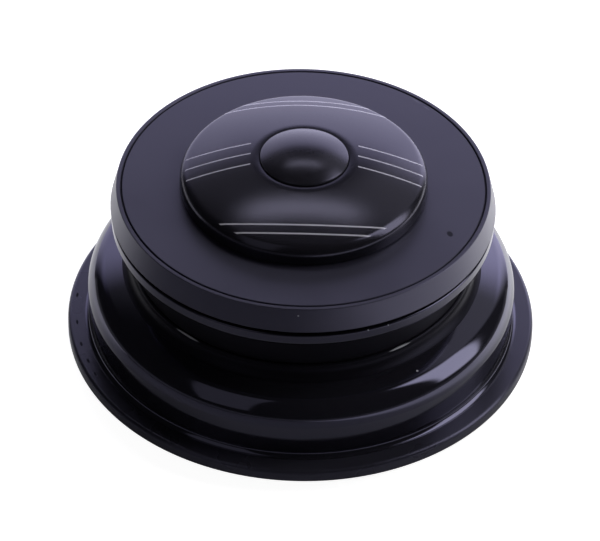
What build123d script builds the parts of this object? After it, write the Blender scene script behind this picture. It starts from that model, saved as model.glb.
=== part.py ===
from build123d import *
import os
from math import atan2, radians, sqrt, tan

# Bicycle headset for a tapered fork, stacked as it is sold: the lower cup on its bearing and crown
# race, the upper cup on the lower one, then compression ring, cover, top cap, bolt and star nut.
# Millimetres. +Z runs up the steering axis, and z = 0 is the underside of the crown race.

# Bearing sizes: 52 x 40 x 7 below and 41 x 30.15 x 6.5 above, both with 45 degree seats
lower_bearing_od = 52.0
lower_bearing_section = 6.0
lower_bearing_height = 7.0
lower_ball_count = 20
upper_bearing_od = 41.0
upper_bearing_section = 5.425
upper_bearing_height = 6.5
upper_ball_count = 16

# Inside a bearing
race_wall = 1.2
race_chamfer = 1.4
race_gap = 1.8
groove_clearance = 0.05
race_seal_thickness = 0.7
race_seal_inset = 0.2
race_seal_bite = 0.3
race_seal_clearance = 0.15
cage_wall = 1.0
cage_seal_gap = 0.25
pocket_clearance = 0.1
bearing_fit = 0.02

# Crown race: it presses on the fork and stands below the lower cup
cup_clear_of_floor = 2.0
crown_seat_allowance = 0.1
crown_flange_inset = 0.5
crown_flange_gap = 0.4
crown_lead_in = 0.4
crown_tip_land = 0.6
crown_tip_chamfer = 0.3
crown_edge = 0.3

# Crown race seal, a lipped ring in the flange's rim
crown_seal_fit = 0.02
crown_seal_inset = 0.45
crown_seal_thickness = 0.75
crown_seal_depth = 0.6
crown_seal_reach = 2.4
crown_seal_lip = 0.6
crown_seal_clearance = 0.25

# Lower cup: its straight wall is the 56 mm press band
lower_cup_wall = 2.0
lower_bearing_recess = 0.4
lower_flange_width = 2.7
lower_flange_thickness = 1.7
lower_flange_edge = 0.5
lower_flange_foot = 0.25
lower_flange_root = 0.45
shoulder_above_bearing = 1.8
shoulder_rise = 1.53
shoulder_round = 3.2
neck_round = 1.6
neck_land = 0.05
neck_step = 0.3
neck_wall = 1.4
neck_edge = 0.3
roof_clearance = 0.5

# Upper cup: its skirt is the 44 mm press band
upper_cup_wall = 1.5
upper_lip_thickness = 0.87
upper_lip_width = 0.8
upper_lip_clearance = 0.4
upper_skirt_edge = 0.35
upper_bearing_proud = 0.45
upper_flange_width = 2.8
upper_flange_thickness = 2.0
upper_flange_foot = 0.9
upper_flange_edge = 0.25
upper_flange_root = 0.5

# Compression ring: split, and tapered into the upper bearing
ring_wall = 0.775
ring_sleeve = 0.6
ring_sleeve_clearance = 0.075
ring_flange_gap = 0.2
ring_flange_thickness = 1.0
ring_flange_width = 2.4
ring_slit = 1.2

# Bearing cover: its wall leans in towards a crisp top edge
cover_plate = 2.2
cover_lap = 0.15
cover_taper = 0.8
cover_skirt_wall = 1.7
cover_gap = 0.6
cover_bore_clearance = 0.25
cover_edge = 0.13
cover_foot = 0.15
cover_line_inset = 0.64
cover_line_width = 0.32
cover_line_depth = 0.25

# Cover seal, a lipped ring against the cover's wall
cover_seal_width = 1.6
cover_seal_height = 0.9
cover_seal_lip = 0.5
cover_seal_clearance = 0.2

# Top cap: a domed disc with a spigot that drops into the cover
cap_overhang = 1.7
cap_rim_height = 2.3
cap_dome_rise = 2.75
cap_rim_round = 1.1
cap_foot = 0.2
cap_spigot_clearance = 0.3
cap_spigot_depth = 2.9
cap_floor = 1.5

# Top cap bolt, M6 with a low head
bolt_diameter = 6.0
bolt_length = 18.0
bolt_hole_clearance = 0.25
bolt_head_diameter = 10.0
bolt_head_height = 4.0
bolt_head_clearance = 0.25
bolt_head_edge = 0.4
bolt_point = 0.6
hex_across_flats = 5.0
hex_depth = 2.4

# Plug over the bolt
plug_lip = 0.45
plug_side_gap = 0.12
plug_seat_depth = 0.85
plug_dome_rise = 1.35
plug_edge_proud = 0.1
plug_stem_gap = 0.1
plug_edge = 0.2

# Star nut: a barrel with two sprung stars that bite into the steerer
barrel_from_bolt_tip = 0.4
barrel_wall = 1.25
barrel_collar_width = 1.1
barrel_collar_height = 1.0
barrel_spacer_height = 5.0
barrel_swage_width = 0.6
barrel_swage_height = 0.7
thread_clearance = 0.03
star_radius = 12.9
star_thickness = 0.7
star_hub_width = 2.2
star_dish = 24.0
star_petals = 8
star_notch_width = 3.0
star_notch_start = 2.2


class Bearing:
    # Heights count from the end with the outer seat, upwards or downwards from there
    def __init__(self, side, od, section, height, balls, seat_z, direction):
        self.side = side
        self.outer_r = od / 2
        self.bore_r = self.outer_r - section
        self.pitch_r = self.outer_r - section / 2
        self.ball_r = section / 2 - race_wall
        self.outer_land = self.pitch_r + race_gap / 2
        self.inner_land = self.pitch_r - race_gap / 2
        self.balls = balls
        self.height = height
        self.seat_z = seat_z
        self.direction = direction

    def z(self, rise):
        return self.seat_z + self.direction * rise


def save(piece, node):
    piece.part.label = node
    export_step(piece.part, f"parts/{node}.step")


os.makedirs("parts", exist_ok=True)

# Lower stack: the crown race carries the bearing, and the bearing carries the cup
cup_base = cup_clear_of_floor
lower_bearing_base = cup_base + lower_bearing_recess
lower_seat_z = lower_bearing_base + lower_bearing_height
lower_bearing = Bearing(
    "lower", lower_bearing_od, lower_bearing_section, lower_bearing_height, lower_ball_count, lower_seat_z, -1
)
lower_bore_r = lower_bearing.outer_r + bearing_fit
lower_press_r = lower_bearing.outer_r + lower_cup_wall
lower_flange_r = lower_press_r + lower_flange_width
lower_flange_top = cup_base + lower_flange_thickness

# The lower cup's outside turns in over a shoulder and up again into a neck, which carries the upper cup
upper_press_r = upper_bearing_od / 2 + upper_cup_wall
neck_r = upper_press_r + neck_step
neck_bore_r = neck_r - neck_wall
shoulder_z = lower_seat_z + shoulder_above_bearing
neck_corner_z = shoulder_z + shoulder_rise
shoulder_turn = atan2(lower_press_r - neck_r, shoulder_rise)
neck_top = neck_corner_z + neck_round * tan(shoulder_turn / 2) + neck_land + neck_edge

# Upper stack
upper_base = neck_top
upper_lip_top = upper_base + upper_lip_thickness
upper_seat_z = upper_lip_top + upper_lip_clearance
upper_bearing = Bearing(
    "upper", upper_bearing_od, upper_bearing_section, upper_bearing_height, upper_ball_count, upper_seat_z, 1
)
upper_bore_r = upper_bearing.outer_r + bearing_fit
upper_bearing_top = upper_bearing.z(upper_bearing.height)
upper_cup_top = upper_bearing_top - upper_bearing_proud
upper_flange_bottom = upper_cup_top - upper_flange_thickness
upper_flange_r = upper_press_r + upper_flange_width

# Compression ring and cover
steerer_r = upper_bearing.bore_r - ring_wall
ring_flange_bottom = upper_bearing_top + ring_flange_gap
ring_top = ring_flange_bottom + ring_flange_thickness
cover_top = ring_top + cover_plate
cover_bottom = upper_cup_top + cover_gap
cover_r = upper_flange_r + cover_lap
cover_rim_r = cover_r - cover_taper
cover_inner_r = cover_r - cover_skirt_wall
cover_bore_r = steerer_r + cover_bore_clearance

# Cap, bolt and plug
cap_r = steerer_r + cap_overhang
cap_rim_z = cover_top + cap_rim_height
cap_dome_z = cap_rim_z + cap_dome_rise
cap_dome_r = (cap_r**2 + cap_dome_rise**2) / (2 * cap_dome_rise)
cap_spigot_r = steerer_r - cap_spigot_clearance
cap_spigot_bottom = cover_top - cap_spigot_depth
bolt_r = bolt_diameter / 2
bolt_seat_z = cap_spigot_bottom + cap_floor
bolt_head_top = bolt_seat_z + bolt_head_height
bolt_tip_z = bolt_seat_z - bolt_length
bolt_head_r = bolt_head_diameter / 2
head_bore_r = bolt_head_r + bolt_head_clearance
plug_r = head_bore_r + plug_lip
plug_recess_r = plug_r + plug_side_gap
plug_rim_z = cap_dome_z - cap_dome_r + sqrt(cap_dome_r**2 - plug_recess_r**2)
plug_seat_z = plug_rim_z - plug_seat_depth
plug_edge_z = plug_rim_z + plug_edge_proud
plug_stem_r = head_bore_r - plug_side_gap


# Both cartridge bearings, each piece in a node of its own
for bearing in (lower_bearing, upper_bearing):
    middle_z = bearing.z(bearing.height / 2)
    groove_r = bearing.ball_r + groove_clearance
    seal_middle = race_seal_inset + race_seal_thickness / 2
    seal_levels = sorted((bearing.z(seal_middle), bearing.z(bearing.height - seal_middle)))
    seal_outer_r = bearing.outer_land + race_seal_bite
    seal_inner_r = bearing.inner_land + race_seal_clearance

    # Outer race: the chamfer at its seat end rests on the cup
    with BuildPart() as outer_race:
        with BuildSketch(Plane.XZ):
            with BuildLine():
                Polyline(
                    (bearing.outer_land, bearing.z(0)),
                    (bearing.outer_r - race_chamfer, bearing.z(0)),
                    (bearing.outer_r, bearing.z(race_chamfer)),
                    (bearing.outer_r, bearing.z(bearing.height)),
                    (bearing.outer_land, bearing.z(bearing.height)),
                    close=True,
                )
            make_face()
            with Locations((bearing.pitch_r, middle_z)):
                Circle(groove_r, mode=Mode.SUBTRACT)
            with Locations(*[(bearing.outer_land, level) for level in seal_levels]):
                Rectangle(2 * race_seal_bite, race_seal_thickness, mode=Mode.SUBTRACT)
        revolve(axis=Axis.Z)
    save(outer_race, f"{bearing.side}_bearing_outer_race")

    # Inner race: the chamfer at its far end takes the crown race or the compression ring
    with BuildPart() as inner_race:
        with BuildSketch(Plane.XZ):
            with BuildLine():
                Polyline(
                    (bearing.bore_r, bearing.z(0)),
                    (bearing.inner_land, bearing.z(0)),
                    (bearing.inner_land, bearing.z(bearing.height)),
                    (bearing.bore_r + race_chamfer, bearing.z(bearing.height)),
                    (bearing.bore_r, bearing.z(bearing.height - race_chamfer)),
                    close=True,
                )
            make_face()
            with Locations((bearing.pitch_r, middle_z)):
                Circle(groove_r, mode=Mode.SUBTRACT)
        revolve(axis=Axis.Z)
    save(inner_race, f"{bearing.side}_bearing_inner_race")

    # Balls, one ring of separate spheres
    with BuildPart() as balls:
        with Locations((0, 0, middle_z)):
            with PolarLocations(bearing.pitch_r, bearing.balls):
                Sphere(bearing.ball_r)
    save(balls, f"{bearing.side}_bearing_balls")

    # Cage: a plain band between the seals, with a round pocket for every ball
    cage_height = bearing.height - 2 * (race_seal_inset + race_seal_thickness + cage_seal_gap)
    with BuildPart() as cage:
        with BuildSketch(Plane.XZ):
            with Locations((bearing.pitch_r, middle_z)):
                Rectangle(cage_wall, cage_height)
        revolve(axis=Axis.Z)
        with Locations((0, 0, middle_z)):
            with PolarLocations(bearing.pitch_r, bearing.balls):
                Cylinder(
                    bearing.ball_r + pocket_clearance, 2 * cage_wall, rotation=(0, 90, 0), mode=Mode.SUBTRACT
                )
    save(cage, f"{bearing.side}_bearing_cage")

    # Seals: flat rings snapped into the outer race, just clear of the inner one
    for place, level in zip(("bottom", "top"), seal_levels):
        with BuildPart() as race_seal:
            with BuildSketch(Plane.XZ):
                with Locations(((seal_inner_r + seal_outer_r) / 2, level)):
                    Rectangle(seal_outer_r - seal_inner_r, race_seal_thickness)
            revolve(axis=Axis.Z)
        save(race_seal, f"{bearing.side}_bearing_{place}_seal")


# Crown race: a cone into the lower bearing's inner chamfer, on a flange with a grooved rim
crown_bore_r = lower_bearing.bore_r - crown_seat_allowance
crown_flange_r = lower_bearing.outer_r - crown_flange_inset
crown_flange_top = cup_base - crown_flange_gap
crown_cone_sum = lower_bearing.bore_r + lower_bearing.z(lower_bearing.height - race_chamfer) - bearing_fit
crown_tip_r = crown_bore_r + crown_tip_land
crown_tip_z = crown_cone_sum - crown_tip_r
crown_groove_r = crown_flange_r - crown_seal_depth
crown_groove_top = crown_seal_inset + crown_seal_thickness
with BuildPart() as crown_race:
    with BuildSketch(Plane.XZ):
        with BuildLine():
            FilletPolyline(
                (crown_bore_r + crown_lead_in, 0),
                (crown_flange_r, 0),
                (crown_flange_r, crown_seal_inset),
                (crown_groove_r, crown_seal_inset),
                (crown_groove_r, crown_groove_top),
                (crown_flange_r, crown_groove_top),
                (crown_flange_r, crown_flange_top),
                (crown_cone_sum - crown_flange_top, crown_flange_top),
                (crown_tip_r, crown_tip_z),
                (crown_bore_r + crown_tip_chamfer, crown_tip_z),
                (crown_bore_r, crown_tip_z - crown_tip_chamfer),
                (crown_bore_r, crown_lead_in),
                radius=[0, crown_edge, 0, 0, 0, 0, 0, 0, 0, 0, 0, 0],
                close=True,
            )
        make_face()
    revolve(axis=Axis.Z)
save(crown_race, "crown_race")

# Crown race seal: the lip turns up towards the cup's underside
crown_seal_r = crown_flange_r + crown_seal_reach
crown_seal_inner_r = crown_groove_r + crown_seal_fit
crown_lip_z = cup_base - crown_seal_clearance
crown_lip_foot_r = crown_seal_r - crown_seal_lip - (crown_lip_z - crown_groove_top)
with BuildPart() as crown_race_seal:
    with BuildSketch(Plane.XZ):
        with BuildLine():
            Polyline(
                (crown_seal_inner_r, crown_seal_inset),
                (crown_lip_foot_r + crown_seal_lip, crown_seal_inset),
                (crown_seal_r, crown_lip_z),
                (crown_seal_r - crown_seal_lip, crown_lip_z),
                (crown_lip_foot_r, crown_groove_top),
                (crown_seal_inner_r, crown_groove_top),
                close=True,
            )
        make_face()
    revolve(axis=Axis.Z)
save(crown_race_seal, "crown_race_seal")

# Lower cup: flange, press band, rounded shoulder and neck outside, and a bearing seat inside
lower_seat_r = lower_bore_r - race_chamfer
with BuildPart() as lower_cup:
    with BuildSketch(Plane.XZ):
        with BuildLine():
            FilletPolyline(
                (lower_bore_r, cup_base),
                (lower_flange_r, cup_base),
                (lower_flange_r, lower_flange_top),
                (lower_press_r, lower_flange_top),
                (lower_press_r, shoulder_z),
                (neck_r, neck_corner_z),
                (neck_r, neck_top),
                (neck_bore_r, neck_top),
                (neck_bore_r, neck_corner_z - neck_wall),
                (lower_seat_r, lower_seat_z + roof_clearance),
                (lower_seat_r, lower_seat_z + bearing_fit),
                (lower_bore_r, lower_seat_z + bearing_fit - race_chamfer),
                radius=[
                    0,
                    lower_flange_foot,
                    lower_flange_edge,
                    lower_flange_root,
                    shoulder_round,
                    neck_round,
                    neck_edge,
                    0,
                    0,
                    0,
                    0,
                    0,
                ],
                close=True,
            )
        make_face()
    revolve(axis=Axis.Z)
save(lower_cup, "lower_cup")

# Upper cup: press skirt and a rolled flange outside, bearing seat and lip inside
upper_seat_r = upper_bore_r - race_chamfer
upper_lip_r = upper_seat_r - upper_lip_width
with BuildPart() as upper_cup:
    with BuildSketch(Plane.XZ):
        with BuildLine():
            FilletPolyline(
                (upper_lip_r, upper_base),
                (upper_press_r, upper_base),
                (upper_press_r, upper_flange_bottom),
                (upper_flange_r, upper_flange_bottom),
                (upper_flange_r, upper_cup_top),
                (upper_bore_r, upper_cup_top),
                (upper_bore_r, upper_seat_z - bearing_fit + race_chamfer),
                (upper_seat_r, upper_seat_z - bearing_fit),
                (upper_seat_r, upper_lip_top),
                (upper_lip_r, upper_lip_top),
                radius=[
                    0,
                    upper_skirt_edge,
                    upper_flange_root,
                    upper_flange_foot,
                    upper_flange_edge,
                    0,
                    0,
                    0,
                    0,
                    0,
                ],
                close=True,
            )
        make_face()
    revolve(axis=Axis.Z)
save(upper_cup, "upper_cup")

# Compression ring: sleeve, cone and flange, slit on one side so that it can close on the steerer
ring_cone_gap = upper_bearing_top - upper_bearing.bore_r - race_chamfer + bearing_fit
ring_sleeve_r = upper_bearing.bore_r - ring_sleeve_clearance
ring_flange_r = steerer_r + ring_wall + ring_flange_width
ring_cone_foot_z = ring_sleeve_r + ring_cone_gap
with BuildPart() as compression_ring:
    with BuildSketch(Plane.XZ):
        with BuildLine():
            Polyline(
                (steerer_r, ring_cone_foot_z - ring_sleeve),
                (ring_sleeve_r, ring_cone_foot_z - ring_sleeve),
                (ring_sleeve_r, ring_cone_foot_z),
                (ring_flange_bottom - ring_cone_gap, ring_flange_bottom),
                (ring_flange_r, ring_flange_bottom),
                (ring_flange_r, ring_top),
                (steerer_r, ring_top),
                close=True,
            )
        make_face()
    revolve(axis=Axis.Z)
    with BuildSketch(Plane.XY.offset(ring_top)):
        Rectangle(ring_slit, 2 * ring_flange_r, align=(Align.CENTER, Align.MIN))
    extrude(amount=-ring_top, mode=Mode.SUBTRACT)
save(compression_ring, "compression_ring")

# Bearing cover: a flat plate with a turned line near its rim and a tapered skirt over the bearing
cover_line_r = cover_rim_r - cover_line_inset
with BuildPart() as bearing_cover:
    with BuildSketch(Plane.XZ):
        with BuildLine():
            FilletPolyline(
                (cover_bore_r, ring_top),
                (cover_inner_r, ring_top),
                (cover_inner_r, cover_bottom),
                (cover_r, cover_bottom),
                (cover_rim_r, cover_top),
                (cover_line_r + cover_line_width / 2, cover_top),
                (cover_line_r, cover_top - cover_line_depth),
                (cover_line_r - cover_line_width / 2, cover_top),
                (cover_bore_r, cover_top),
                radius=[0, 0, 0, cover_foot, cover_edge, 0, 0, 0, 0],
                close=True,
            )
        make_face()
    revolve(axis=Axis.Z)
save(bearing_cover, "bearing_cover")

# Cover seal: the lip reaches down towards the upper cup's flange
cover_seal_inner_r = cover_inner_r - cover_seal_width
cover_seal_bottom = ring_top - cover_seal_height
cover_lip_z = upper_cup_top + cover_seal_clearance
with BuildPart() as cover_seal:
    with BuildSketch(Plane.XZ):
        with BuildLine():
            Polyline(
                (cover_seal_inner_r, ring_top),
                (cover_seal_inner_r, cover_seal_bottom),
                (cover_inner_r - 2 * cover_seal_lip, cover_seal_bottom),
                (cover_inner_r - cover_seal_lip, cover_lip_z),
                (cover_inner_r, cover_lip_z),
                (cover_inner_r, ring_top),
                close=True,
            )
        make_face()
    revolve(axis=Axis.Z)
save(cover_seal, "cover_seal")

# Top cap: rim and dome above, spigot below, stepped hole for the bolt head and its plug
with BuildPart() as top_cap:
    with BuildSketch(Plane.XZ) as cap_section:
        with BuildLine():
            Polyline(
                (0, cap_dome_z),
                (0, cap_spigot_bottom),
                (cap_spigot_r, cap_spigot_bottom),
                (cap_spigot_r, cover_top),
                (cap_r, cover_top),
                (cap_r, cap_rim_z),
            )
            TangentArc((0, cap_dome_z), (cap_r, cap_rim_z), tangent=(1, 0))
        make_face()
        rim_corners = cap_section.vertices().group_by(Axis.X)[-1].sort_by(Axis.Y)
        fillet(rim_corners[-1], cap_rim_round)
        fillet(cap_section.vertices().group_by(Axis.X)[-1].sort_by(Axis.Y)[0], cap_foot)
    revolve(axis=Axis.Z)
    with Locations((0, 0, cap_dome_z)):
        CounterBoreHole(bolt_r + bolt_hole_clearance, head_bore_r, cap_dome_z - bolt_seat_z)
        Hole(plug_recess_r, depth=cap_dome_z - plug_seat_z)
save(top_cap, "top_cap")

# Top cap bolt: low round head with a hexagon socket
with BuildPart() as cap_bolt:
    with BuildSketch(Plane.XY.offset(bolt_seat_z)):
        Circle(bolt_head_r)
    extrude(amount=bolt_head_height)
    fillet(cap_bolt.edges().sort_by(Axis.Z)[-1], bolt_head_edge)
    with BuildSketch(Plane.XY.offset(bolt_seat_z)):
        Circle(bolt_r)
    extrude(amount=-bolt_length)
    chamfer(cap_bolt.edges().sort_by(Axis.Z)[0], bolt_point)
    with BuildSketch(Plane.XY.offset(bolt_head_top)):
        RegularPolygon(hex_across_flats / 2, 6, major_radius=False)
    extrude(amount=-hex_depth, mode=Mode.SUBTRACT)
save(cap_bolt, "cap_bolt")

# Plug: a domed button on a short stem above the bolt head
with BuildPart() as bolt_plug:
    with BuildSketch(Plane.XZ) as plug_section:
        with BuildLine():
            Polyline(
                (0, plug_edge_z + plug_dome_rise),
                (0, bolt_head_top + plug_stem_gap),
                (plug_stem_r, bolt_head_top + plug_stem_gap),
                (plug_stem_r, plug_seat_z),
                (plug_r, plug_seat_z),
                (plug_r, plug_edge_z),
            )
            TangentArc((0, plug_edge_z + plug_dome_rise), (plug_r, plug_edge_z), tangent=(1, 0))
        make_face()
        fillet(plug_section.vertices().group_by(Axis.X)[-1].sort_by(Axis.Y)[-1], plug_edge)
    revolve(axis=Axis.Z)
save(bolt_plug, "bolt_plug")

# Star nut barrel: collar, spacer and swaged rim hold the two stars
barrel_bore_r = bolt_r + thread_clearance
barrel_r = barrel_bore_r + barrel_wall
barrel_collar_r = barrel_r + barrel_collar_width
barrel_swage_r = barrel_r + barrel_swage_width
barrel_base = bolt_tip_z + barrel_from_bolt_tip
lower_star_z = barrel_base + barrel_collar_height
spacer_base = lower_star_z + star_thickness
upper_star_z = spacer_base + barrel_spacer_height
swage_base = upper_star_z + star_thickness
with BuildPart() as star_nut_barrel:
    with BuildSketch(Plane.XZ):
        with BuildLine():
            Polyline(
                (barrel_bore_r, barrel_base),
                (barrel_collar_r, barrel_base),
                (barrel_collar_r, lower_star_z),
                (barrel_r, lower_star_z),
                (barrel_r, spacer_base),
                (barrel_collar_r, spacer_base),
                (barrel_collar_r, upper_star_z),
                (barrel_r, upper_star_z),
                (barrel_r, swage_base),
                (barrel_swage_r, swage_base),
                (barrel_swage_r, swage_base + barrel_swage_height),
                (barrel_bore_r, swage_base + barrel_swage_height),
                close=True,
            )
        make_face()
    revolve(axis=Axis.Z)
save(star_nut_barrel, "star_nut_barrel")

# The two stars: dished washers cut into petals by round-ended notches
star_hub_r = barrel_r + star_hub_width
star_tip_rise = (star_radius - star_hub_r) * tan(radians(star_dish))
notch_r = star_hub_r + star_notch_start
for place, star_z in (("lower", lower_star_z), ("upper", upper_star_z)):
    with BuildPart() as star:
        with BuildSketch(Plane.XZ):
            with BuildLine():
                Polyline(
                    (barrel_r, star_z),
                    (star_hub_r, star_z),
                    (star_radius, star_z + star_tip_rise),
                    (star_radius, star_z + star_tip_rise + star_thickness),
                    (star_hub_r, star_z + star_thickness),
                    (barrel_r, star_z + star_thickness),
                    close=True,
                )
            make_face()
        revolve(axis=Axis.Z)
        with BuildSketch(Plane.XY.offset(star_z)):
            with PolarLocations(notch_r, star_petals):
                Circle(star_notch_width / 2)
                Rectangle(star_radius, star_notch_width, align=(Align.MIN, Align.CENTER))
        extrude(amount=star_tip_rise + 2 * star_thickness, mode=Mode.SUBTRACT)
    save(star, f"star_nut_{place}_star")
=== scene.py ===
# Bicycle headset for a tapered fork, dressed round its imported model.
# Metres, in the model's own frame: +Z runs up the steering axis and the stack stands on z = 0.
# Sizes in the pieces' dictionaries are in millimetres.
import math

import bmesh
import bpy
from mathutils import Matrix, Vector


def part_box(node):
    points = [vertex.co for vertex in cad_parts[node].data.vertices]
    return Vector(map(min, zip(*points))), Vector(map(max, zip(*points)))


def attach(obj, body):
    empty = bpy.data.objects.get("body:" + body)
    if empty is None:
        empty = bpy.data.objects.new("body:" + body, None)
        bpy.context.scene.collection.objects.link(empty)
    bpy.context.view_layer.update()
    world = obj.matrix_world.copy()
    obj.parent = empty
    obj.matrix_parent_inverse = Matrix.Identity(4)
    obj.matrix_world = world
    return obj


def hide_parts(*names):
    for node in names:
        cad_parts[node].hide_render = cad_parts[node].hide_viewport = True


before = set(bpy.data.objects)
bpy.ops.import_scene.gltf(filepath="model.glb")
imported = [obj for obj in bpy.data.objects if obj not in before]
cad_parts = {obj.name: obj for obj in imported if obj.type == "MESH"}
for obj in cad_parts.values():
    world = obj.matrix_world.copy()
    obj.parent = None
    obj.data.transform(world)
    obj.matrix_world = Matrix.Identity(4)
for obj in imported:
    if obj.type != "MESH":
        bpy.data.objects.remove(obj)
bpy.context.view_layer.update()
scene = bpy.context.scene
scene.view_settings.view_transform = "Standard"
mm = 0.001
hair = 0.01                     # in mm, slack when heights are compared
noiseSpan = (0.3, 0.7)          # where most values of a noise texture lie
noiseDetail = 3.0               # octaves of a mottle
reliefDetail = 2.0              # and of turning lines and blasted grain


def linearColour(code):
    # sRGB hex to the linear values that shaders take
    shares = [int(code[i:i + 2], 16) / 255 for i in (0, 2, 4)]
    return [s / 12.92 if s <= 0.04045 else ((s + 0.055) / 1.055) ** 2.4 for s in shares] + [1.0]


def addNode(tree, kind, inputs={}, **settings):
    # inputs holds plain values or the sockets to link from, by name or number
    node = tree.nodes.new(kind)
    for name, value in settings.items():
        setattr(node, name, value)
    for name, value in inputs.items():
        if isinstance(value, bpy.types.NodeSocket):
            tree.links.new(value, node.inputs[name])
        else:
            node.inputs[name].default_value = value
    return node


def startMaterial(name, **sockets):
    # a Principled surface with its uniform values set on its own sockets
    material = bpy.data.materials.new(name)
    material.use_nodes = True
    tree = material.node_tree
    tree.nodes.clear()
    shader = addNode(tree, "ShaderNodeBsdfPrincipled", sockets)
    addNode(tree, "ShaderNodeOutputMaterial", {"Surface": shader.outputs["BSDF"]})
    return material, tree, shader


def mottle(tree, vector, size, colours, roughness):
    # colour and roughness that shift with soft noise about size mm wide, and that noise
    noise = addNode(tree, "ShaderNodeTexNoise", {
        "Vector": vector, "Scale": 1 / (size * mm), "Detail": noiseDetail}).outputs[0]
    dark, light = [linearColour(code) for code in colours]
    colour = addNode(tree, "ShaderNodeMix", {0: noise, 6: dark, 7: light}, data_type="RGBA").outputs[2]
    rough = addNode(tree, "ShaderNodeMapRange", {
        "Value": noise, "From Min": noiseSpan[0], "From Max": noiseSpan[1],
        "To Min": roughness[0], "To Max": roughness[1]}).outputs[0]
    return colour, rough, noise


def paintMarks(tree, colour, marks):
    # lays each mark's colour over what is below it; a mark is its mask and its hex code
    for mask, code in marks:
        colour = addNode(tree, "ShaderNodeMix", {0: mask, 6: colour, 7: linearColour(code)},
                         data_type="RGBA").outputs[2]
    return colour


def dressShader(tree, shader, colour, rough, relief=None, strength=0.0, depth=0.0):
    # leads colour, roughness and relief into the shader; depth is the relief's height in mm
    tree.links.new(colour, shader.inputs["Base Color"])
    tree.links.new(rough, shader.inputs["Roughness"])
    if relief is not None:
        bump = addNode(tree, "ShaderNodeBump", {
            "Strength": strength, "Distance": depth * mm, "Height": relief})
        tree.links.new(bump.outputs[0], shader.inputs["Normal"])


def turnedCoordinates(tree):
    # where a point lies on a piece turned about Z; ring is its radius and height as one vector
    place = addNode(tree, "ShaderNodeTexCoord").outputs["Object"]
    x, y, z = addNode(tree, "ShaderNodeSeparateXYZ", {0: place}).outputs
    flat = addNode(tree, "ShaderNodeCombineXYZ", {0: x, 1: y}).outputs[0]
    radius = addNode(tree, "ShaderNodeVectorMath", {0: flat}, operation="LENGTH").outputs["Value"]
    ring = addNode(tree, "ShaderNodeCombineXYZ", {0: radius, 1: z}).outputs[0]
    return {"place": place, "x": x, "y": y, "z": z, "radius": radius, "ring": ring}


def markMask(tree, place, marks, soft=0.4):
    # 1 inside each small oval mark, fading to 0 at its edge
    # a mark is its centre and half sizes in mm, and its turn in degrees
    total = 0.0
    for centre, halves, turn in marks:
        inMark = addNode(tree, "ShaderNodeMapping", {
            "Vector": place, "Location": [v * mm for v in centre], "Rotation": (0, 0, math.radians(turn)),
            "Scale": [v * mm for v in halves]}, vector_type="TEXTURE").outputs[0]
        reach = addNode(tree, "ShaderNodeVectorMath", {0: inMark}, operation="LENGTH").outputs["Value"]
        mark = addNode(tree, "ShaderNodeMapRange", {
            "Value": reach, "From Min": 1.0, "From Max": 1.0 - soft}).outputs[0]
        total = addNode(tree, "ShaderNodeMath", {0: total, 1: mark}, operation="MAXIMUM").outputs[0]
    return total


def roundMark(x, y, z, half):
    return (x, y, z), (half, half, half), 0


def rimMark(x, y, z, across, along, high):
    # a mark that follows a rim: half sizes across the rim, along it and in height
    return (x, y, z), (across, along, high), math.degrees(math.atan2(y, x))


# Camera: fitted to the outline of the stack as it is pictured
shot = {
    "target": (0, 0, 14.0 * mm),
    "distance": 553.6 * mm,
    "elevation": 40.853,
    "roll": 1.39,
    "lens": 254.3,
    "sensor": 36.0,
    "clipStart": 0.01,
    "frame": (600, 541),
    "targetPixel": (302.0, 252.5),
}


def placeCamera():
    camera = bpy.data.objects.new("photoCamera", bpy.data.cameras.new("photoCamera"))
    camera.data.lens = shot["lens"]
    camera.data.sensor_width = shot["sensor"]
    camera.data.clip_start = shot["clipStart"]
    elevation = math.radians(shot["elevation"])
    pixel = shot["sensor"] / shot["lens"] / shot["frame"][0]        # tangent of one pixel
    yaw = (shot["targetPixel"][0] - shot["frame"][0] / 2) * pixel    # turns the target off the middle
    pitch = (shot["frame"][1] / 2 - shot["targetPixel"][1]) * pixel
    back = Vector((0, -math.cos(elevation), math.sin(elevation)))
    turn = Matrix.Rotation(math.pi / 2 - elevation, 4, "X")
    turn = turn @ Matrix.Rotation(math.radians(shot["roll"]), 4, "Z")
    nudge = Matrix.Rotation(yaw, 4, "Y") @ Matrix.Rotation(-pitch, 4, "X")
    place = Matrix.Translation(Vector(shot["target"]) + shot["distance"] * back)
    camera.matrix_world = place @ turn @ nudge
    scene.collection.objects.link(camera)
    scene.camera = camera


placeCamera()
print("camera placed")


# Studio, in metres: a pale floor, soft boxes round it and dim air above
studio = {
    "floorSize": 6.0,
    "floorColour": "c8c8ca",
    "floorRoughness": 0.9,
    "floorSpecular": 0.1,
    "floorLift": 0.95,          # what the floor adds for the camera
    "floorSheen": 0.03,         # and for reflections, more towards the lit right side and the back
    "sheenRight": 1.0, "sheenRightFrom": 28 * mm, "sheenRightTo": 60 * mm,
    "sheenBack": 0.9, "sheenBackFrom": -20 * mm, "sheenBackTo": 30 * mm,
    "ceiling": 0.02,
    "horizon": 0.26,
    "horizonTop": (0.08, 0.16),     # sines of the elevations between which the horizon fades
}
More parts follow.
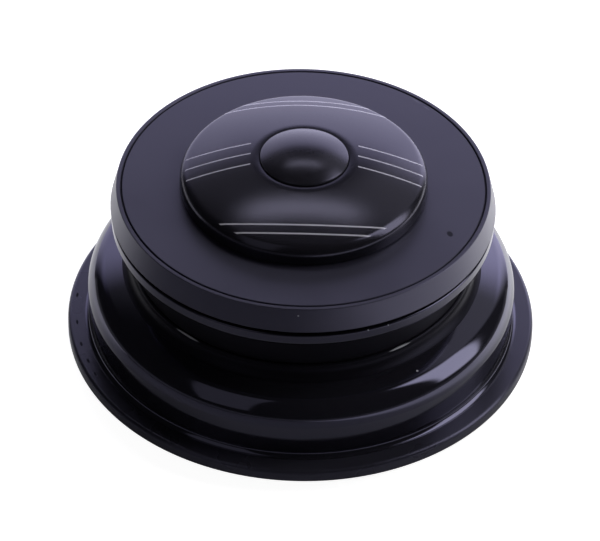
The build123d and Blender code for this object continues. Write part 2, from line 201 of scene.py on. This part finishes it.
# Azimuth 0 is the camera's side and plus is right. Fade is the share of the half size that fades at
# the edges, and lean makes one side brighter than the other.
softBoxes = {
    "rightBox": {"azimuth": 93, "elevation": 38, "distance": 0.45, "size": (0.25, 0.50), "roll": -21,
                 "brightness": 4.0, "fade": 0.3},
    "leftFrontCard": {"azimuth": -44, "elevation": 47, "distance": 0.50, "size": (0.24, 0.58), "roll": 16,
                      "brightness": 0.28, "fade": 0.1},
    "backPaper": {"azimuth": 180, "elevation": 0, "distance": 0.15, "size": (0.38, 0.305),
                  "brightness": 2.1, "fade": 0.42, "lean": -0.45, "colour": "e4e1ff"},
    "topBackBox": {"azimuth": 180, "elevation": 64.5, "distance": 0.50, "size": (0.36, 0.075),
                   "brightness": 4.2, "fade": 0.5},
    # faint and clear, before the back paper, so that they only add their glow to it
    "rightBackCard": {"azimuth": 138, "elevation": 34, "distance": 0.14, "size": (0.085, 0.18),
                      "brightness": 0.5, "fade": 0.45, "clear": True},
    "leftBackCard": {"azimuth": -149, "elevation": 42, "distance": 0.14, "size": (0.062, 0.10),
                     "brightness": 0.20, "fade": 0.5, "clear": True},
}


def stageMesh(name, bm):
    mesh = bpy.data.meshes.new(name)
    bm.to_mesh(mesh)
    bm.free()
    thing = bpy.data.objects.new(name, mesh)
    scene.collection.objects.link(thing)
    return thing


def buildFloor():
    bm = bmesh.new()
    bmesh.ops.create_grid(bm, x_segments=1, y_segments=1, size=studio["floorSize"] / 2)
    floor = stageMesh("studioFloor", bm)
    # white paper: an even matt ground that keeps the soft shadow; for reflections it glows as painted
    # light, more towards the lit right side and the back
    material, tree, shader = startMaterial("whitePaper", **{
        "Base Color": linearColour(studio["floorColour"]), "Roughness": studio["floorRoughness"],
        "Specular IOR Level": studio["floorSpecular"], "Emission Color": (1, 1, 1, 1)})
    place = addNode(tree, "ShaderNodeTexCoord").outputs["Object"]
    axes = addNode(tree, "ShaderNodeSeparateXYZ", {0: place}).outputs
    sheen = studio["floorSheen"]
    for axis, side in enumerate(("sheenRight", "sheenBack")):
        rise = addNode(tree, "ShaderNodeMapRange", {
            "Value": axes[axis], "From Min": studio[side + "From"], "From Max": studio[side + "To"],
            "To Max": studio[side]}, interpolation_type="SMOOTHSTEP").outputs[0]
        sheen = addNode(tree, "ShaderNodeMath", {0: sheen, 1: rise}, operation="ADD").outputs[0]
    path = addNode(tree, "ShaderNodeLightPath").outputs
    mirrored = addNode(tree, "ShaderNodeMath", {0: path["Is Glossy Ray"], 1: sheen},
                       operation="MULTIPLY").outputs[0]
    seen = addNode(tree, "ShaderNodeMath", {0: path["Is Camera Ray"], 1: path["Is Transmission Ray"]},
                   operation="MAXIMUM").outputs[0]
    lift = addNode(tree, "ShaderNodeMath", {0: seen, 1: studio["floorLift"], 2: mirrored},
                   operation="MULTIPLY_ADD").outputs[0]
    tree.links.new(lift, shader.inputs["Emission Strength"])
    floor.data.materials.append(material)


def softBoxMaterial(name, size, brightness, fade, lean, colour, clear):
    material = bpy.data.materials.new(name)
    material.use_nodes = True
    tree = material.node_tree
    tree.nodes.clear()
    place = addNode(tree, "ShaderNodeTexCoord").outputs["Object"]
    axes = addNode(tree, "ShaderNodeSeparateXYZ", {0: place}).outputs
    glow = addNode(tree, "ShaderNodeMath", {
        0: axes[0], 1: lean * brightness * 2 / size[0], 2: brightness}, operation="MULTIPLY_ADD").outputs[0]
    for axis, length in enumerate(size):
        off = addNode(tree, "ShaderNodeMath", {0: axes[axis]}, operation="ABSOLUTE").outputs[0]
        edge = addNode(tree, "ShaderNodeMapRange", {
            "Value": off, "From Min": length / 2, "From Max": length / 2 * (1 - fade)},
            interpolation_type="SMOOTHSTEP").outputs[0]
        glow = addNode(tree, "ShaderNodeMath", {0: glow, 1: edge}, operation="MULTIPLY").outputs[0]
    behind = addNode(tree, "ShaderNodeNewGeometry").outputs["Backfacing"]
    front = addNode(tree, "ShaderNodeMath", {0: 1.0, 1: behind}, operation="SUBTRACT").outputs[0]
    glow = addNode(tree, "ShaderNodeMath", {0: glow, 1: front}, operation="MULTIPLY").outputs[0]
    light = addNode(tree, "ShaderNodeEmission", {"Color": linearColour(colour), "Strength": glow})
    if clear:
        through = addNode(tree, "ShaderNodeBsdfTransparent")
        light = addNode(tree, "ShaderNodeAddShader", {0: light.outputs[0], 1: through.outputs[0]})
    addNode(tree, "ShaderNodeOutputMaterial", {"Surface": light.outputs[0]})
    return material


def buildSoftBox(name, azimuth, elevation, distance, size, brightness, fade, roll=0, lean=0.0,
                 colour="ffffff", clear=False):
    bm = bmesh.new()
    bmesh.ops.create_grid(bm, x_segments=1, y_segments=1, size=0.5)
    bmesh.ops.scale(bm, vec=(*size, 1), verts=bm.verts)
    bmesh.ops.reverse_faces(bm, faces=bm.faces)    # the lit side looks back at the object
    box = stageMesh(name, bm)
    side, rise = math.radians(azimuth), math.radians(elevation)
    away = Vector((math.sin(side) * math.cos(rise), -math.cos(side) * math.cos(rise), math.sin(rise)))
    box.location = Vector(shot["target"]) + distance * away
    box.rotation_euler = (Matrix.Rotation(side, 3, "Z") @ Matrix.Rotation(math.pi / 2 - rise, 3, "X")
                          @ Matrix.Rotation(math.radians(roll), 3, "Z")).to_euler()
    box.visible_camera = False
    box.visible_shadow = False
    box.data.materials.append(softBoxMaterial(name, size, brightness, fade, lean, colour, clear))


def buildWorld():
    world = bpy.data.worlds.new("studioAir")
    world.use_nodes = True
    tree = world.node_tree
    tree.nodes.clear()
    way = addNode(tree, "ShaderNodeTexCoord").outputs["Generated"]
    height = addNode(tree, "ShaderNodeSeparateXYZ", {0: way}).outputs[2]
    low, high = studio["horizonTop"]
    level = addNode(tree, "ShaderNodeMapRange", {
        "Value": height, "From Min": low, "From Max": high, "To Min": studio["horizon"],
        "To Max": studio["ceiling"]}, interpolation_type="SMOOTHSTEP").outputs[0]
    air = addNode(tree, "ShaderNodeBackground", {"Strength": level})
    addNode(tree, "ShaderNodeOutputWorld", {"Surface": air.outputs[0]})
    scene.world = world


buildFloor()
for boxName, boxSettings in softBoxes.items():
    buildSoftBox(boxName, **boxSettings)
buildWorld()
print("studio built:", len(softBoxes), "soft boxes")


# Turned meshes: a half section in the XZ plane, spun about Z
turning = {
    "roundStep": 6.0,           # degrees that each face of a round edge turns
    "fewestSteps": 3,
    "weld": 0.0005 * mm,
    "sharpAngle": 32.0,
}


def outlineVerts(bm, corners):
    # a closed half section from a few corners given as (radius, height) in mm
    verts = [bm.verts.new((r * mm, 0, z * mm)) for r, z in corners]
    for first, second in zip(verts, verts[1:] + verts[:1]):
        bm.edges.new((first, second))
    return verts


def roundCorners(bm, corners, rounds):
    # an outline with round corners; rounds gives a corner's radius in mm by its number, and the bevel
    # runs back from the corner to the tangent points
    verts = outlineVerts(bm, corners)
    for number, radius in rounds.items():
        here = Vector(corners[number])
        before = (here - Vector(corners[number - 1])).normalized()
        after = (Vector(corners[(number + 1) % len(corners)]) - here).normalized()
        turn = before.angle(after)
        steps = max(turning["fewestSteps"], round(math.degrees(turn) / turning["roundStep"]))
        bmesh.ops.bevel(bm, geom=[verts[number]], offset=radius * mm * math.tan(turn / 2),
                        offset_type="OFFSET", affect="VERTICES", segments=steps, profile=0.5, material=-1,
                        clamp_overlap=False)


def spinArc(bm, start, centre, angle, steps):
    # carries a vertex round a centre (radius, height) in mm, and gives back the arc's last vertex
    swept = bmesh.ops.spin(bm, geom=[start], cent=(centre[0] * mm, 0, centre[1] * mm), axis=(0, 1, 0),
                           angle=angle, steps=steps)
    return [v for v in swept["geom_last"] if isinstance(v, bmesh.types.BMVert)][0]


def joinVerts(bm, first, corners):
    # straight runs from a vertex through corners (radius, height) in mm
    for r, z in corners:
        second = bm.verts.new((r * mm, 0, z * mm))
        bm.edges.new((first, second))
        first = second
    return first


def spinSection(bm, steps):
    bmesh.ops.spin(bm, geom=bm.verts[:] + bm.edges[:], cent=(0, 0, 0), axis=(0, 0, 1), angle=2 * math.pi,
                   steps=steps, use_merge=True)
    bmesh.ops.remove_doubles(bm, verts=bm.verts, dist=turning["weld"])
    bmesh.ops.recalc_face_normals(bm, faces=bm.faces)


def faceFinish(bm, number, below=math.inf, above=-math.inf, within=math.inf):
    # gives a finish to the faces in a range of height and inside a radius, in mm
    for face in bm.faces:
        middle = face.calc_center_median() / mm
        if above <= middle.z <= below and middle.xy.length < within:
            face.material_index = number


def finishPiece(bm, name, body, node, materials):
    # a smooth mesh at the origin that rides on its body and stands for its node
    mesh = bpy.data.meshes.new(name)
    bm.to_mesh(mesh)
    bm.free()
    mesh.shade_smooth()
    mesh.set_sharp_from_angle(angle=math.radians(turning["sharpAngle"]))
    for material in materials:
        mesh.materials.append(material)
    piece = bpy.data.objects.new(name, mesh)
    scene.collection.objects.link(piece)
    even = piece.modifiers.new("evenShading", "WEIGHTED_NORMAL")
    even.keep_sharp = True
    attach(piece, body)
    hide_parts(node)
    print("built", name, "with", len(mesh.polygons), "faces")


def levels(node):
    # lowest and highest level and outer radius of a turned node, in mm
    low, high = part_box(node)
    return {"base": low.z / mm, "top": high.z / mm, "radius": high.x / mm}


def domeRound(rim, top, rise, edge):
    # a dome of this rise over its rim: its ball's radius, its centre's height, the angle at which the
    # round edge takes over, and that edge's centre
    ball = (rim ** 2 + rise ** 2) / (2 * rise)
    middle = top - ball
    end = math.asin((rim - edge) / (ball - edge))
    return ball, middle, end, (rim - edge, middle + (ball - edge) * math.cos(end))


# Finishes of both cups: two base colours, IOR, specular level, roughness, and the pitch in mm and
# strength of the turning lines, which are drawn coarser than real ones so that they show
cupFinishes = {
    # black anodised aluminium, polished before dyeing: deep black with clear reflections
    "blackAnodisedGloss": (("1a191f", "1c1b21"), 1.72, 0.5, (0.07, 0.12), 0.25, 0.06),
    # the same, polished less: a soft sheen on the flange
    "blackAnodisedSatin": (("24232b", "28272f"), 1.72, 0.32, (0.25, 0.31), 0.25, 0.06),
    # black anodised aluminium, fine turned: black with reflections softened by its lines
    "blackAnodisedTurned": (("131217", "151419"), 1.68, 0.5, (0.12, 0.20), 0.20, 0.08),
    # black anodised aluminium, etched before dyeing: dull black with hardly any sheen
    "blackAnodisedDull": (("121116", "151419"), 1.68, 0.06, (0.30, 0.40), 0.20, 0.08),
}
cupSurface = {
    "tint": "d6d3ff",           # reflections in the dyed skin lean to violet
    "smudge": 9.0,
    "lineDepth": 0.02,
    "dentColour": "030304", "dentRough": 0.9, "dentDepth": -6.0,    # depth as a share of the lines'
    # pale colour of dust specks, and of the painted glints on the neck's edge
    "speckColour": "b0b0b7",
}


def cupMaterial(name, dents=(), specks=()):
    s = cupSurface
    colours, ior, specular, roughness, pitch, strength = cupFinishes[name]
    material, tree, shader = startMaterial(name, **{
        "IOR": ior, "Specular IOR Level": specular, "Specular Tint": linearColour(s["tint"])})
    at = turnedCoordinates(tree)
    colour, rough = mottle(tree, at["place"], s["smudge"], colours, roughness)[:2]
    relief = addNode(tree, "ShaderNodeTexNoise", {
        "Vector": at["ring"], "Scale": 1 / (pitch * mm), "Detail": reliefDetail}).outputs[0]
    if dents:
        dented = markMask(tree, at["place"], dents)
        colour = paintMarks(tree, colour, [(dented, s["dentColour"])])
        rough = addNode(tree, "ShaderNodeMix", {0: dented, 2: rough, 3: s["dentRough"]}).outputs[0]
        relief = addNode(tree, "ShaderNodeMath", {0: dented, 1: s["dentDepth"], 2: relief},
                         operation="MULTIPLY_ADD").outputs[0]
    # pale specks: dust, and on the dull finish painted glints on the neck's edge
    if specks:
        specksAndGlints = markMask(tree, at["place"], specks)
        colour = paintMarks(tree, colour, [(specksAndGlints, s["speckColour"])])
    dressShader(tree, shader, colour, rough, relief, strength, s["lineDepth"])
    return material


# Lower cup: gloss black, with a flange below, a 56 mm wall, a rounded shoulder and a neck
lowerCup = {
    "steps": 224,
    "wall": 28.0, "bore": 26.02,
    "flangeThickness": 1.7, "flangeEdge": 0.5, "flangeFoot": 0.25, "flangeRoot": 0.8,
    "wallFoot": 27.7, "wallBend": 8.7,      # the wall draws in a little towards the flange
    "shoulder": 11.2, "shoulderRound": 3.2,
    "neck": 22.3, "neckCorner": 12.73, "neckRound": 1.6, "neckEdge": 0.3, "neckBore": 20.9, "neckWall": 1.4,
    "dullWithin": 23.6, "dullAbove": 12.0,      # the neck and its root are dull
    "seat": 24.62, "seatTop": 9.9, "seatLevel": 9.42, "seatChamfer": 1.4,
    # small dents along the flange's left edge
    "dents": [rimMark(x, y, 3.7, 0.2, 0.55, 0.3) for x, y in (
        (-29.65, 2.19), (-29.35, -3.16), (-28.58, -7.46), (-27.49, -10.72), (-26.45, -13.19))],
    # bright specks on the shoulder's right side
    "specks": [roundMark(15.05, -20.16, 11.96, 0.16), roundMark(18.6, -12.07, 14.26, 0.12),
               roundMark(15.52, -16.08, 13.61, 0.10), roundMark(16.07, -16.88, 12.46, 0.10)],
    # two pale stretches on the neck's edge: painted glints, where the edge catches the light
    "paintedEdgeGlints": [rimMark(x, y, 14.2, 0.25, along, 0.12) for x, y, along in (
        (-14.4, -16.95, 2.3), (12.8, -18.2, 1.9))],
}


def buildLowerCup():
    s = lowerCup
    cad = levels("lower_cup")
    base, top, flange = cad["base"], cad["top"], cad["radius"]
    flangeTop = base + s["flangeThickness"]
    corners = [
        (s["bore"], base), (flange, base), (flange, flangeTop),
        (s["wallFoot"], flangeTop), (s["wall"], s["wallBend"]), (s["wall"], s["shoulder"]),
        (s["neck"], s["neckCorner"]), (s["neck"], top),
        (s["neckBore"], top), (s["neckBore"], s["neckCorner"] - s["neckWall"]),
        (s["seat"], s["seatTop"]), (s["seat"], s["seatLevel"]),
        (s["bore"], s["seatLevel"] - s["seatChamfer"]),
    ]
    bm = bmesh.new()
    roundCorners(bm, corners, {1: s["flangeFoot"], 2: s["flangeEdge"], 3: s["flangeRoot"],
                               5: s["shoulderRound"], 6: s["neckRound"], 7: s["neckEdge"]})
    spinSection(bm, s["steps"])
    faceFinish(bm, 1, below=flangeTop + hair)
    faceFinish(bm, 2, above=s["dullAbove"], within=s["dullWithin"])
    finishes = [cupMaterial("blackAnodisedGloss", specks=s["specks"]),
                cupMaterial("blackAnodisedSatin", dents=s["dents"]), dullFinish]
    finishPiece(bm, "lowerCupBody", "cups", "lower_cup", finishes)


# the dull finish carries the neck edge's painted glints as pale specks
dullFinish = cupMaterial("blackAnodisedDull", specks=lowerCup["paintedEdgeGlints"])
buildLowerCup()


# Upper cup: its rolled flange shows below the cover, over a dull skirt
upperCup = {
    "steps": 192,
    "press": 22.0, "skirtEdge": 0.35,
    "flangeThickness": 2.0, "flangeRoot": 0.5, "flangeFoot": 0.9, "flangeEdge": 0.25,
    "dullRise": 0.045,          # how far the dull finish climbs the flange's foot
    "bore": 20.52, "seat": 19.12, "seatLevel": 15.557, "seatChamfer": 1.4,
    "lip": 18.32, "lipThickness": 0.87,
    # two bright specks on the flange's right side
    "specks": [roundMark(8.54, -23.22, 21.51, 0.12), roundMark(11.05, -22.18, 21.5, 0.12)],
}


def buildUpperCup():
    s = upperCup
    cad = levels("upper_cup")
    base, top, flange = cad["base"], cad["top"], cad["radius"]
    foot = top - s["flangeThickness"]
    lipTop = base + s["lipThickness"]
    corners = [
        (s["lip"], base), (s["press"], base), (s["press"], foot), (flange, foot), (flange, top),
        (s["bore"], top), (s["bore"], s["seatLevel"] + s["seatChamfer"]), (s["seat"], s["seatLevel"]),
        (s["seat"], lipTop), (s["lip"], lipTop),
    ]
    bm = bmesh.new()
    roundCorners(bm, corners, {1: s["skirtEdge"], 2: s["flangeRoot"], 3: s["flangeFoot"],
                               4: s["flangeEdge"]})
    spinSection(bm, s["steps"])
    faceFinish(bm, 1, below=foot + s["dullRise"])
    finishes = [cupMaterial("blackAnodisedTurned", specks=s["specks"]), dullFinish]
    finishPiece(bm, "upperCupBody", "cups", "upper_cup", finishes)


buildUpperCup()


# Bearing cover: flat satin plate with a leaning wall and one turned line near the rim
cover = {
    "steps": 224,
    "foot": 24.95, "taper": 0.8, "footRound": 0.15, "edge": 0.13,
    "inner": 23.25, "bore": 14.55, "plate": 2.2,
    "lineInset": 0.64, "lineWidth": 0.32, "lineDepth": 0.25,
    # the groove is painted dark between these shares of its depth, as painted shade
    "lineShade": (0.1, 0.5),    # shares of its depth between which the line turns dark
    "colours": ("26252f", "2b2a35"), "ior": 1.66, "tint": "dad6ff", "roughness": (0.32, 0.38),
    # the grain is drawn coarser than a real blasted one so that it shows
    "cloud": 7.0, "grain": 0.18, "grainStrength": 0.1, "grainDepth": 0.03,
    # one dark pip on the right, two faint scuffs at the back and a pale speck on the front wall
    "pip": [((18.75, -8.98, 25.48), (0.46, 0.68, 0.3), 20)], "pipDepth": -5.0,
    # near black for the dark pip, and as painted shade down in the turned line
    "pipAndGrooveShadeColour": "030304", "darkRough": 0.9,
    "scuffs": [((14.6, 17.86, 25.48), (0.18, 1.1, 0.2), 48), ((15.92, 16.44, 25.48), (0.14, 0.8, 0.2), 44)],
    "scuffColour": "4a4953", "scuffSoft": 0.9,
    "specks": [roundMark(-0.27, -24.36, 24.6, 0.13)], "speckColour": "a8a8b0",
}


def grooveShadeMask(tree, at):
    # 1 down in the turned line, 0 elsewhere: where the groove is painted dark, as painted shade
    s = cover
    top = levels("bearing_cover")["top"]
    start, end = [(top - share * s["lineDepth"]) * mm for share in s["lineShade"]]
    middle = s["foot"] - s["taper"] - s["lineInset"]
    deep = addNode(tree, "ShaderNodeMapRange", {
        "Value": at["z"], "From Min": start, "From Max": end}).outputs[0]
    onLine = addNode(tree, "ShaderNodeMath", {0: at["radius"], 1: middle * mm, 2: s["lineWidth"] / 2 * mm},
                     operation="COMPARE").outputs[0]
    return addNode(tree, "ShaderNodeMath", {0: deep, 1: onLine}, operation="MULTIPLY").outputs[0]


def coverMaterial():
    # black anodised aluminium, bead blasted: an even dark grey sheen with a fine grain and a violet cast
    s = cover
    material, tree, shader = startMaterial("blackAnodisedBlasted", **{
        "IOR": s["ior"], "Specular Tint": linearColour(s["tint"])})
    at = turnedCoordinates(tree)
    colour, rough = mottle(tree, at["place"], s["cloud"], s["colours"], s["roughness"])[:2]
    pip = markMask(tree, at["place"], s["pip"])
    # the pip is a dark mark; the turned line is darkened as painted shade in its groove
    dark = addNode(tree, "ShaderNodeMath", {0: pip, 1: grooveShadeMask(tree, at)}, operation="MAXIMUM").outputs[0]
    scuffs = markMask(tree, at["place"], s["scuffs"], soft=s["scuffSoft"])
    specks = markMask(tree, at["place"], s["specks"])
    colour = paintMarks(tree, colour, [
        (scuffs, s["scuffColour"]), (dark, s["pipAndGrooveShadeColour"]), (specks, s["speckColour"])])
    rough = addNode(tree, "ShaderNodeMix", {0: dark, 2: rough, 3: s["darkRough"]}).outputs[0]
    grain = addNode(tree, "ShaderNodeTexNoise", {
        "Vector": at["place"], "Scale": 1 / (s["grain"] * mm), "Detail": reliefDetail}).outputs[0]
    relief = addNode(tree, "ShaderNodeMath", {0: pip, 1: s["pipDepth"], 2: grain},
                     operation="MULTIPLY_ADD").outputs[0]
    dressShader(tree, shader, colour, rough, relief, s["grainStrength"], s["grainDepth"])
    return material


def buildCover():
    s = cover
    cad = levels("bearing_cover")
    base, top = cad["base"], cad["top"]
    rim = s["foot"] - s["taper"]
    line = rim - s["lineInset"]
    plateFoot = top - s["plate"]
    corners = [
        (s["bore"], plateFoot), (s["inner"], plateFoot), (s["inner"], base), (s["foot"], base), (rim, top),
        (line + s["lineWidth"] / 2, top), (line, top - s["lineDepth"]), (line - s["lineWidth"] / 2, top),
        (s["bore"], top),
    ]
    bm = bmesh.new()
    roundCorners(bm, corners, {3: s["footRound"], 4: s["edge"]})
    spinSection(bm, s["steps"])
    finishPiece(bm, "bearingCoverBody", "cover_group", "bearing_cover", [coverMaterial()])


buildCover()


# Top cap: domed disc with a spigot below and a stepped hole for the bolt head and its plug
cap = {
    "steps": 192, "dishSteps": 10, "domeSteps": 28, "rimSteps": 12,
    "rimHeight": 2.3, "domeRise": 2.75, "rimRound": 1.6, "footRound": 0.2,
    "dishRound": 4.5, "dishLean": 6.0,      # the dome dips a little towards the plug
    "spigot": 14.0, "floor": 1.5, "boltHole": 3.25, "headBore": 5.25, "recess": 5.82, "recessDepth": 0.85,
    # the grain is drawn coarser than a real blasted one so that it shows
    "colours": ("1a191e", "1a191e"), "ior": 1.55, "specular": 0.45, "tint": "dad6ff",
    "roughness": (0.16, 0.21), "grain": 0.22, "grainStrength": 0.2, "grainDepth": 0.03,
    # plain print: two straight lines at the front and the back, three slanted lines at each side
    "ink": "c6c4ce", "line": 0.20, "soft": 0.05, "printEdge": 15.3,
    "cross": (12.0, 13.3), "crossBow": 0.008,
    "side": (-2.1, 0, 2.1), "sideSlope": 0.16, "sideFrom": 6.9,
}


def printMask(tree, at):
    s = cap
    across = addNode(tree, "ShaderNodeMath", {0: at["x"]}, operation="ABSOLUTE").outputs[0]
    along = addNode(tree, "ShaderNodeMath", {0: at["y"]}, operation="ABSOLUTE").outputs[0]
    square = addNode(tree, "ShaderNodeMath", {0: across, 1: across}, operation="MULTIPLY").outputs[0]
    along = addNode(tree, "ShaderNodeMath", {0: square, 1: s["crossBow"] / mm, 2: along},
                    operation="MULTIPLY_ADD").outputs[0]
    slant = addNode(tree, "ShaderNodeMath", {0: across, 1: s["sideSlope"], 2: at["y"]},
                    operation="MULTIPLY_ADD").outputs[0]
    slantMiddle = s["sideSlope"] * (s["sideFrom"] + s["printEdge"]) / 2
    slant = addNode(tree, "ShaderNodeMath", {0: slant, 1: slantMiddle * mm},
                    operation="SUBTRACT").outputs[0]
    onDome = addNode(tree, "ShaderNodeMath", {0: at["radius"], 1: s["printEdge"] * mm},
                     operation="LESS_THAN").outputs[0]
    outside = addNode(tree, "ShaderNodeMath", {0: across, 1: s["sideFrom"] * mm},
                      operation="GREATER_THAN").outputs[0]
    atSide = addNode(tree, "ShaderNodeMath", {0: outside, 1: onDome}, operation="MULTIPLY").outputs[0]
    strokes = [(along, place, onDome) for place in s["cross"]]
    strokes += [(slant, place, atSide) for place in s["side"]]
    half = s["line"] / 2
    total = 0.0
    for measure, place, window in strokes:
        off = addNode(tree, "ShaderNodeMath", {0: measure, 1: place * mm}, operation="SUBTRACT").outputs[0]
        off = addNode(tree, "ShaderNodeMath", {0: off}, operation="ABSOLUTE").outputs[0]
        stroke = addNode(tree, "ShaderNodeMapRange", {
            "Value": off, "From Min": (half + s["soft"]) * mm,
            "From Max": (half - s["soft"]) * mm}).outputs[0]
        stroke = addNode(tree, "ShaderNodeMath", {0: stroke, 1: window}, operation="MULTIPLY").outputs[0]
        total = addNode(tree, "ShaderNodeMath", {0: total, 1: stroke}, operation="MAXIMUM").outputs[0]
    return total


def capMaterial():
    # black anodised aluminium, finely blasted and sealed: half gloss with a grainy highlight, and thin
    # pale print
    s = cap
    material, tree, shader = startMaterial("blackAnodisedHalfGloss", **{
        "IOR": s["ior"], "Specular IOR Level": s["specular"], "Specular Tint": linearColour(s["tint"])})
    at = turnedCoordinates(tree)
    colour, rough, grain = mottle(tree, at["place"], s["grain"], s["colours"], s["roughness"])
    colour = paintMarks(tree, colour, [(printMask(tree, at), s["ink"])])
    dressShader(tree, shader, colour, rough, grain, s["grainStrength"], s["grainDepth"])
    return material


def buildTopCap():
    s = cap
    cad = levels("top_cap")
    base, rim = cad["base"], cad["radius"]
    seat = levels("bearing_cover")["top"]
    apex = seat + s["rimHeight"] + s["domeRise"]
    dome, middle, end, rimMiddle = domeRound(rim, apex, s["domeRise"], s["rimRound"])
    lean = math.radians(s["dishLean"])
    dishMiddle = s["recess"] + s["dishRound"] * math.sin(lean)
    start = math.asin(dishMiddle / (dome - s["dishRound"]))
    dishLevel = middle + (dome - s["dishRound"]) * math.cos(start)
    recessFloor = middle + math.sqrt(dome ** 2 - s["recess"] ** 2) - s["recessDepth"]
    boltSeat = base + s["floor"]
    bm = bmesh.new()
    lip = bm.verts.new((s["recess"] * mm, 0, (dishLevel + s["dishRound"] * math.cos(lean)) * mm))
    crest = spinArc(bm, lip, (dishMiddle, dishLevel), lean + start, s["dishSteps"])
    edge = spinArc(bm, crest, (0, middle), end - start, s["domeSteps"])
    side = spinArc(bm, edge, rimMiddle, math.pi / 2 - end, s["rimSteps"])
    last = joinVerts(bm, side, [
        (rim, seat + s["footRound"]), (rim - s["footRound"], seat), (s["spigot"], seat),
        (s["spigot"], base), (s["boltHole"], base), (s["boltHole"], boltSeat), (s["headBore"], boltSeat),
        (s["headBore"], recessFloor), (s["recess"], recessFloor)])
    bm.edges.new((last, lip))
    spinSection(bm, s["steps"])
    finishPiece(bm, "topCapBody", "cover_group", "top_cap", [capMaterial()])


buildTopCap()


# Plug: a domed rubber button over the bolt head
plug = {
    "steps": 128, "domeSteps": 24, "edgeSteps": 8,
    "domeRise": 1.35, "edge": 0.2, "proud": 0.1, "stem": 5.13, "seatDepth": 0.85,
    "colours": ("1c1b20", "232228"), "ior": 1.5, "specular": 0.45, "tint": "dad6ff",
    "roughness": (0.21, 0.26), "mottle": 0.5,
}


def plugMaterial():
    # moulded black rubber: smooth, with a soft highlight and a faint mottle
    s = plug
    material, tree, shader = startMaterial("mouldedBlackRubber", **{
        "IOR": s["ior"], "Specular IOR Level": s["specular"], "Specular Tint": linearColour(s["tint"])})
    place = turnedCoordinates(tree)["place"]
    colour, rough = mottle(tree, place, s["mottle"], s["colours"], s["roughness"])[:2]
    dressShader(tree, shader, colour, rough)
    return material


def buildPlug():
    s = plug
    cad = levels("bolt_plug")
    base, top, rim = cad["base"], cad["top"], cad["radius"]
    seat = top - s["domeRise"] - s["proud"] - s["seatDepth"]
    dome, middle, end, edgeMiddle = domeRound(rim, top, s["domeRise"], s["edge"])
    bm = bmesh.new()
    apex = bm.verts.new((0, 0, top * mm))
    edge = spinArc(bm, apex, (0, middle), end, s["domeSteps"])
    side = spinArc(bm, edge, edgeMiddle, math.pi / 2 - end, s["edgeSteps"])
    joinVerts(bm, side, [(rim, seat), (s["stem"], seat), (s["stem"], base), (0, base)])
    spinSection(bm, s["steps"])
    finishPiece(bm, "boltPlugBody", "cover_group", "bolt_plug", [plugMaterial()])


buildPlug()


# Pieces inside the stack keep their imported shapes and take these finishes: two colours, metallic,
# roughness, grain and bump depth in mm, and whether the grain runs round the axis; hair lines and rings
# are drawn coarser than real ones so that they show
innerFinishes = {
    # turned aluminium, left bare: bright with fine rings
    "turnedAluminium": (("b9b9be", "d0d0d4"), 1.0, (0.24, 0.38), 0.20, 0.010, True),
    # turned aluminium under a black anodised skin: dark satin rings
    "blackAnodisedRace": (("121215", "1d1d21"), 0.0, (0.28, 0.40), 0.20, 0.008, True),
    # bearing steel, ground: bright grey with hair lines round the axis
    "groundSteel": (("a4a4a8", "bdbdc2"), 1.0, (0.16, 0.28), 0.12, 0.004, True),
    # bearing steel, lapped: mirror bright with a breath of oil
    "lappedSteel": (("c6c6ca", "d6d6da"), 1.0, (0.05, 0.11), 1.2, 0.001, False),
    # moulded nylon: cream, waxy and a little mottled
    "mouldedNylon": (("cfc6a8", "dcd4ba"), 0.0, (0.42, 0.55), 0.8, 0.010, False),
    # moulded nitrile rubber: dull black with a powdery bloom
    "mouldedNitrile": (("161617", "232325"), 0.0, (0.55, 0.75), 0.35, 0.015, False),
    # moulded rubber on a steel shield: dark grey, with rings from its mould
    "shieldRubber": (("1b1b1f", "26262a"), 0.0, (0.45, 0.60), 0.45, 0.020, True),
    # alloy steel, black oxide: oily black with a brown hint
    "blackOxideSteel": (("1d1b1a", "2b2826"), 1.0, (0.30, 0.45), 0.30, 0.006, False),
    # spring steel, zinc plated: pale blue grey with a soft crystal cloud
    "zincPlatedSteel": (("8f9499", "aab0b6"), 1.0, (0.26, 0.42), 0.90, 0.006, False),
}
innerStrength = 0.3             # of the bump
innerPieces = {
    "compression_ring": "turnedAluminium",
    "crown_race": "blackAnodisedRace",
    "cover_seal": "mouldedNitrile",
    "crown_race_seal": "mouldedNitrile",
    "cap_bolt": "blackOxideSteel",
    "star_nut_barrel": "zincPlatedSteel",
    "star_nut_upper_star": "zincPlatedSteel",
    "star_nut_lower_star": "zincPlatedSteel",
}
bearingPieces = {
    "outer_race": "groundSteel",
    "inner_race": "groundSteel",
    "balls": "lappedSteel",
    "cage": "mouldedNylon",
    "top_seal": "shieldRubber",
    "bottom_seal": "shieldRubber",
}
for bearing in ("upper", "lower"):
    for part, finish in bearingPieces.items():
        innerPieces[f"{bearing}_bearing_{part}"] = finish


def innerMaterial(name, colours, metallic, roughness, grain, depth, runsRound):
    material, tree, shader = startMaterial(name, **{"Metallic": metallic})
    at = turnedCoordinates(tree)
    vector = at["ring"] if runsRound else at["place"]
    colour, rough, texture = mottle(tree, vector, grain, colours, roughness)
    dressShader(tree, shader, colour, rough, texture, innerStrength, depth)
    return material


madeFinishes = {name: innerMaterial(name, *values) for name, values in innerFinishes.items()}
for nodeName, finishName in innerPieces.items():
    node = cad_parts[nodeName]
    node.data.materials.clear()
    node.data.materials.append(madeFinishes[finishName])
print("inner finishes on", len(innerPieces), "pieces")
